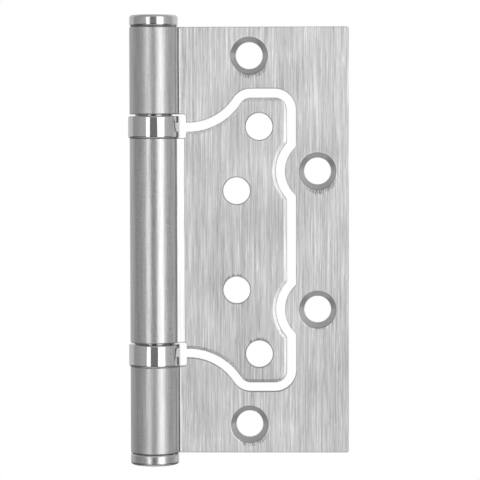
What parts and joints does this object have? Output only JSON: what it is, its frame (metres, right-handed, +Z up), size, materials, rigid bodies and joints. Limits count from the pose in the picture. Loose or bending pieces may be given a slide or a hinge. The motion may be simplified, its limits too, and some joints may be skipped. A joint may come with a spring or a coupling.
{
  "type": "butterfly hinge",
  "caption": "Non-mortise butterfly door hinge with nesting sheet-steel leaves, a capped pin and thrust ball bearings in polished cups between its knuckles.",
  "frame": {"origin": "on the outer leaf's back mounting face, halfway between its far pair of screw holes, at mid-height; the pin's axis is 38.4 mm away along -X and 1.25 mm along -Y", "axes": "+Z up along the pin, +X from the barrel to the leaves' free edges, -Y towards the front, where the outer leaf's countersinks are and where the inner leaf opens to"},
  "size_m": [0.0517, 0.0121, 0.1056],
  "materials": {
    "brushed_leaf": "brushed along the pin, satin on the rolled barrel",
    "ground_pin": "ground, lightly greased",
    "polished_cap": "mirror polished",
    "satin_cap": "fine turned satin",
    "polished_cup": "mirror polished",
    "hardened_race": "hardened and ground",
    "cage_plastic": "moulded, matt",
    "bearing_ball": "lapped"
  },
  "bodies": {
    "frame_side": {"outer_leaf": "brushed_leaf", "hinge_pin": "ground_pin", "top_cap": "polished_cap", "bottom_cap": "satin_cap", "top_upper_race": "hardened_race", "bottom_bearing_cup": "polished_cup", "bottom_lower_race": "hardened_race"},
    "door_side": {"inner_leaf": "brushed_leaf", "top_bearing_cup": "polished_cup", "top_lower_race": "hardened_race", "bottom_upper_race": "hardened_race"},
    "top_balls": {"top_ball_cage": "cage_plastic", "top_ball_1": "bearing_ball", "top_ball_2": "bearing_ball", "top_ball_3": "bearing_ball", "top_ball_4": "bearing_ball", "top_ball_5": "bearing_ball", "top_ball_6": "bearing_ball", "top_ball_7": "bearing_ball", "top_ball_8": "bearing_ball"},
    "bottom_balls": {"bottom_ball_cage": "cage_plastic", "bottom_ball_1": "bearing_ball", "bottom_ball_2": "bearing_ball", "bottom_ball_3": "bearing_ball", "bottom_ball_4": "bearing_ball", "bottom_ball_5": "bearing_ball", "bottom_ball_6": "bearing_ball", "bottom_ball_7": "bearing_ball", "bottom_ball_8": "bearing_ball"}
  },
  "joints": [
    {"name": "leaf_swing", "type": "hinge", "parent": "frame_side", "child": "door_side", "pos_m": [-0.0384, -0.00125, 0], "axis": [0, 0, -1], "range_deg": [0, 180]},
    {"name": "top_balls_roll", "type": "hinge", "parent": "frame_side", "child": "top_balls", "pos_m": [-0.0384, -0.00125, 0], "axis": [0, 0, -1], "range_deg": [0, 90]},
    {"name": "bottom_balls_roll", "type": "hinge", "parent": "frame_side", "child": "bottom_balls", "pos_m": [-0.0384, -0.00125, 0], "axis": [0, 0, -1], "range_deg": [0, 90]}
  ],
  "couplings": [
    {"joint": "top_balls_roll", "follows": "leaf_swing", "ratio": 0.5},
    {"joint": "bottom_balls_roll", "follows": "leaf_swing", "ratio": 0.5}
  ]
}
